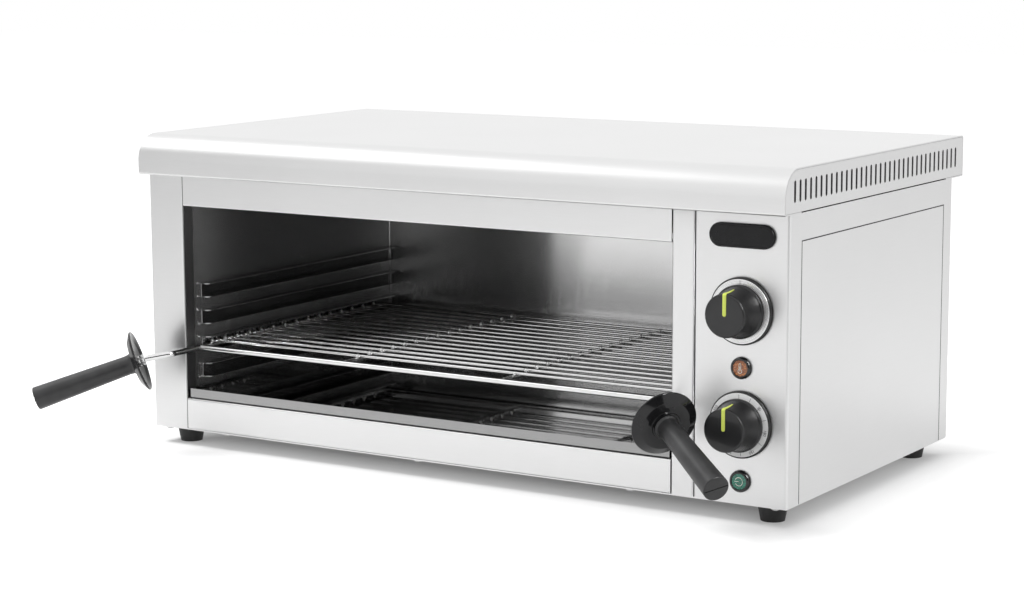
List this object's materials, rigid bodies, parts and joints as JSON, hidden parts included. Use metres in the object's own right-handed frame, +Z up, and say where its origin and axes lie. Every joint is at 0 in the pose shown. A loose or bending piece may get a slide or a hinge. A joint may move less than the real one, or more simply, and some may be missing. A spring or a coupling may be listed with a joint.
{
  "type": "salamander grill",
  "caption": "Countertop electric salamander grill: open-front stainless cavity with overhead elements, a sliding handled wire rack, crumb tray and side control panel.",
  "frame": {"origin": "bottom centre of the whole part's box, handles and lid included, on the plane of the feet", "axes": "+X to the right seen from the front, +Y to the rear, +Z up; the open front faces -Y"},
  "size_m": [0.6568, 0.4212, 0.265],
  "materials": {
    "lid_steel": "fine satin brushed stainless",
    "case_steel": "brushed stainless",
    "panel_steel": "brushed stainless, vertical grain",
    "cavity_steel": "bright rolled stainless, smooth",
    "tray_steel": "smooth rolled stainless",
    "rack_chrome": "bright chromed wire",
    "handle_plastic": "black moulded heat-proof plastic",
    "knob_plastic": "black satin plastic",
    "dial_rim": "black plastic",
    "dial_metal": "spun bright metal",
    "dial_scale": "pale with plain dark scale",
    "pointer": "yellow-green",
    "lamp_body": "glossy black",
    "lens_orange": "translucent orange-brown",
    "lens_green": "translucent green",
    "plate_black": "bare glossy black",
    "rubber": "black rubber",
    "screw_steel": "bright zinc-plated steel",
    "element_sheath": "dark oxidised metal sheath",
    "ceramic": "white ceramic with steel stud",
    "gear_case": "black moulding",
    "block_plastic": "pale moulding",
    "lead_cover": "heat-proof covered wire",
    "probe_metal": "copper capillary and bulb",
    "gland_plastic": "black nylon"
  },
  "bodies": {
    "casing": {"base_pan": "case_steel", "blank_plate": "plate_black", "body_top_sheet": "case_steel", "bottom_front_panel": "case_steel", "cable_gland": "gland_plastic", "case_screws": "screw_steel", "cavity_roof": "cavity_steel", "dial_bezel_lower": "dial_rim", "dial_bezel_upper": "dial_rim", "dial_face_lower": "dial_scale", "dial_face_upper": "dial_metal", "element_bushings": "screw_steel", "element_hangers": "cavity_steel", "element_terminals": "ceramic", "feet": "rubber", "foot_screws": "screw_steel", "heating_element_front": "element_sheath", "heating_element_rear": "element_sheath", "heating_lamp_holder": "lamp_body", "heating_lamp_lens": "lens_orange", "left_casing": "case_steel", "left_cavity_liner": "cavity_steel", "lid_end_left": "lid_steel", "lid_end_right": "lid_steel", "lid_top": "lid_steel", "power_lamp_holder": "lamp_body", "power_lamp_lens": "lens_green", "power_switch_body": "gear_case", "probe_clips": "cavity_steel", "rack_rails_left": "cavity_steel", "rack_rails_right": "cavity_steel", "rear_panel": "case_steel", "right_casing": "panel_steel", "right_cavity_liner": "cavity_steel", "side_access_panel": "case_steel", "terminal_block": "block_plastic", "thermostat_body": "gear_case", "thermostat_probe": "probe_metal", "top_rail": "case_steel", "tray_ledges": "cavity_steel", "wiring": "lead_cover"},
    "rack": {"rack_rod_left": "rack_chrome", "rack_rod_right": "rack_chrome", "rack_bar_front": "rack_chrome", "rack_bar_rear": "rack_chrome", "rack_cross_bar_left": "rack_chrome", "rack_cross_bar_right": "rack_chrome", "rack_wires": "rack_chrome", "handle_guard_left": "handle_plastic", "handle_guard_right": "handle_plastic", "handle_grip_left": "handle_plastic", "handle_grip_right": "handle_plastic", "handle_nuts": "screw_steel"},
    "tray": {"crumb_tray": "tray_steel"},
    "upper_knob": {"knob_upper": "knob_plastic", "knob_pointer_upper": "pointer", "power_switch_shaft": "screw_steel"},
    "lower_knob": {"knob_lower": "knob_plastic", "knob_pointer_lower": "pointer", "thermostat_shaft": "screw_steel"}
  },
  "joints": [
    {"name": "rack_slide", "type": "slide", "parent": "casing", "child": "rack", "axis": [0, -1, 0], "range_m": [0, 0.22]},
    {"name": "tray_slide", "type": "slide", "parent": "casing", "child": "tray", "axis": [0, -1, 0], "range_m": [0, 0.22]},
    {"name": "upper_knob_turn", "type": "hinge", "parent": "casing", "child": "upper_knob", "pos_m": [0.28941, -0.11091, 0.159], "axis": [0, 1, 0], "range_deg": [0, 270]},
    {"name": "lower_knob_turn", "type": "hinge", "parent": "casing", "child": "lower_knob", "pos_m": [0.28941, -0.11091, 0.0745], "axis": [0, 1, 0], "range_deg": [0, 300]}
  ]
}
